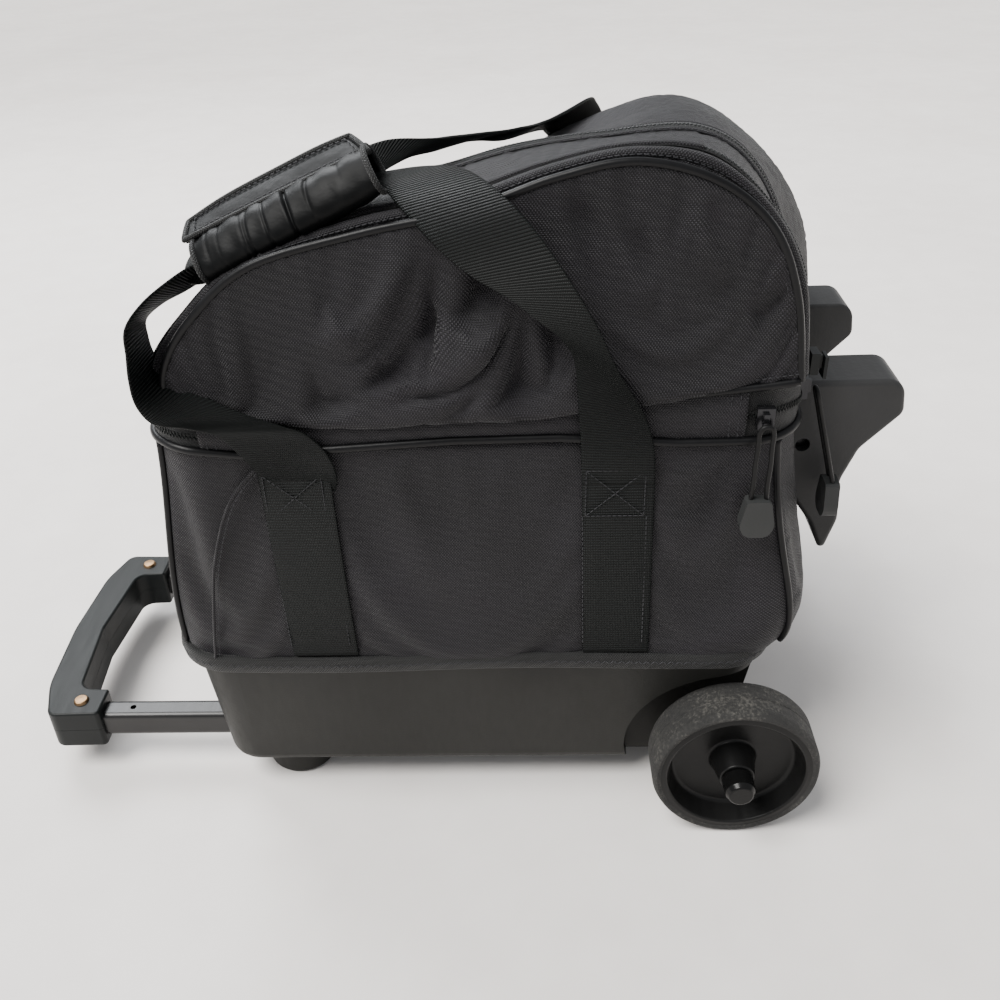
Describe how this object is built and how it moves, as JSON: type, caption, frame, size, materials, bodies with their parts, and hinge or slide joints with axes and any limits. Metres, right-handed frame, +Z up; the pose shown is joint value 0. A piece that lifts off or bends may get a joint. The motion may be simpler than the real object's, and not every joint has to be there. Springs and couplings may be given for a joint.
{
  "type": "roller bowling ball bag",
  "caption": "Soft bag on a hard tub with two wheels, a telescopic tow handle, stand arms, a hinged zipped lid and a padded carry handle.",
  "frame": {"origin": "on the floor, at the centre of the bounding box's underside", "axes": "+X from the tow handle to the wheels, +Y from the near side to the far side along the axle, +Z up"},
  "size_m": [0.5462, 0.328, 0.4364],
  "materials": {
    "tub_plastic": "matte moulded, olive grey",
    "steel": "plain",
    "foam": "closed-cell foam",
    "tube_metal": "satin dark bronze grey",
    "cap_plastic": "glossy",
    "nylon_fabric": "coated 600 denier twill",
    "piping_vinyl": "glossy vinyl piping",
    "zip_tape": "woven tape with nylon coil",
    "zip_metal": "black chrome",
    "arm_plastic": "grained moulded",
    "webbing": "ribbed woven webbing",
    "wheel_plastic": "semi-gloss moulded",
    "tyre": "dusty tread",
    "grip_plastic": "fine grained",
    "rivet_brass": "bronze coloured",
    "pull_cord": "braided",
    "tab_plastic": "soft touch"
  },
  "bodies": {
    "bag_body": {"base_tub": "tub_plastic", "near_foot": "tub_plastic", "far_foot": "tub_plastic", "foot_screws": "steel", "ball_cup": "foam", "outer_tube_near": "tube_metal", "outer_tube_far": "tube_metal", "axle": "steel", "axle_sleeve": "tub_plastic", "axle_cap_near": "cap_plastic", "axle_cap_far": "cap_plastic", "near_side_panel": "nylon_fabric", "far_side_panel": "nylon_fabric", "left_end_panel": "nylon_fabric", "right_end_panel": "nylon_fabric", "lower_piping": "piping_vinyl", "hem_binding": "nylon_fabric", "main_zip_lower": "zip_tape", "hinge_band": "nylon_fabric", "stand_arm_near": "arm_plastic", "stand_arm_far": "arm_plastic", "stand_arm_screw_near": "steel", "stand_arm_screw_far": "steel", "near_strap_legs": "webbing", "far_strap_legs": "webbing"},
    "near_wheel": {"near_wheel_rim": "wheel_plastic", "near_wheel_tyre": "tyre"},
    "far_wheel": {"far_wheel_rim": "wheel_plastic", "far_wheel_tyre": "tyre"},
    "handle_middle": {"middle_tube_near": "tube_metal", "middle_tube_far": "tube_metal"},
    "tow_grip": {"inner_tube_near": "tube_metal", "inner_tube_far": "tube_metal", "grip_lower": "grip_plastic", "grip_upper": "grip_plastic", "grip_rivets": "rivet_brass"},
    "lid": {"lid_crown": "nylon_fabric", "lid_far_panel": "nylon_fabric", "lid_floor": "nylon_fabric", "main_zip_upper": "zip_tape", "compartment_zip": "zip_tape"},
    "front_door": {"door_crown": "nylon_fabric", "door_back_panel": "nylon_fabric"},
    "pocket_flap": {"pocket_panel": "nylon_fabric"},
    "near_handle": {"near_strap_loop": "webbing", "handle_wrap": "nylon_fabric"},
    "far_handle": {"far_strap_loop": "webbing"},
    "slider_one": {"zip_slider_1": "zip_metal"},
    "pull_one": {"pull_cord_1": "pull_cord", "pull_tab_1": "tab_plastic"},
    "slider_two": {"zip_slider_2": "zip_metal"},
    "pull_two": {"pull_cord_2": "pull_cord", "pull_tab_2": "tab_plastic"},
    "compartment_slider": {"compartment_zip_slider": "zip_metal"},
    "compartment_pull": {"compartment_zip_pull": "zip_metal"},
    "pocket_slider": {"pocket_zip_slider": "zip_metal"},
    "pocket_pull": {"pocket_zip_pull": "zip_metal"}
  },
  "joints": [
    {"name": "near_wheel_spin", "type": "hinge", "parent": "bag_body", "child": "near_wheel", "pos_m": [0.1865, -0.133, 0.0508], "axis": [0, 1, 0], "continuous": true},
    {"name": "far_wheel_spin", "type": "hinge", "parent": "bag_body", "child": "far_wheel", "pos_m": [0.1865, 0.133, 0.0508], "axis": [0, 1, 0], "continuous": true},
    {"name": "handle_middle_slide", "type": "slide", "parent": "bag_body", "child": "handle_middle", "axis": [-1, 0, 0], "range_m": [0, 0.23]},
    {"name": "handle_grip_slide", "type": "slide", "parent": "handle_middle", "child": "tow_grip", "axis": [-1, 0, 0], "range_m": [-0.07, 0.15]},
    {"name": "lid_hinge", "type": "hinge", "parent": "bag_body", "child": "lid", "pos_m": [0, -0.131, 0.283], "axis": [1, 0, 0], "range_deg": [0, 95], "deforming": ["main_zip_upper", "hinge_band"]},
    {"name": "front_door_hinge", "type": "hinge", "parent": "lid", "child": "front_door", "pos_m": [0, -0.131, 0.29], "axis": [-1, 0, 0], "range_deg": [-95, 0], "deforming": ["compartment_zip"]},
    {"name": "pocket_flap_hinge", "type": "hinge", "parent": "front_door", "child": "pocket_flap", "pos_m": [0, -0.123, 0.292], "axis": [1, 0, 0], "range_deg": [0, 45]},
    {"name": "near_handle_swing", "type": "hinge", "parent": "pocket_flap", "child": "near_handle", "pos_m": [0, -0.127, 0.268], "axis": [-1, 0, 0], "range_deg": [-60, 0], "deforming": ["near_strap_loop", "handle_wrap"]},
    {"name": "far_handle_swing", "type": "hinge", "parent": "bag_body", "child": "far_handle", "pos_m": [0, 0.127, 0.262], "axis": [1, 0, 0], "range_deg": [-105, 0], "deforming": ["far_strap_loop"]},
    {"name": "slider_one_track", "type": "hinge", "parent": "bag_body", "child": "slider_one", "pos_m": [0.175, -0.093, 0.286], "axis": [0, 0, 1], "range_deg": [-16, 30]},
    {"name": "pull_one_swing", "type": "hinge", "parent": "slider_one", "child": "pull_one", "pos_m": [0.182, -0.1329, 0.2839], "axis": [-1, 0, 0], "range_deg": [0, 75]},
    {"name": "slider_two_track", "type": "slide", "parent": "bag_body", "child": "slider_two", "axis": [0, 1, 0], "range_m": [0, 0.003]},
    {"name": "pull_two_swing", "type": "hinge", "parent": "slider_two", "child": "pull_two", "pos_m": [0.2157, -0.091, 0.2839], "axis": [0, -1, 0], "range_deg": [0, 70]},
    {"name": "compartment_slider_track", "type": "slide", "parent": "lid", "child": "compartment_slider", "axis": [0, 0, 1], "range_m": [0, 0.02]},
    {"name": "compartment_pull_swing", "type": "hinge", "parent": "compartment_slider", "child": "compartment_pull", "pos_m": [0.2144, -0.06, 0.3081], "axis": [0, -1, 0], "range_deg": [0, 90]},
    {"name": "pocket_slider_track", "type": "slide", "parent": "front_door", "child": "pocket_slider", "axis": [0, 0, 1], "range_m": [0, 0.02]},
    {"name": "pocket_pull_swing", "type": "hinge", "parent": "pocket_slider", "child": "pocket_pull", "pos_m": [0.2144, -0.103, 0.3081], "axis": [0, -1, 0], "range_deg": [0, 90]}
  ],
  "couplings": [
    {"joint": "far_handle_swing", "follows": "lid_hinge", "ratio": -1.05}
  ]
}
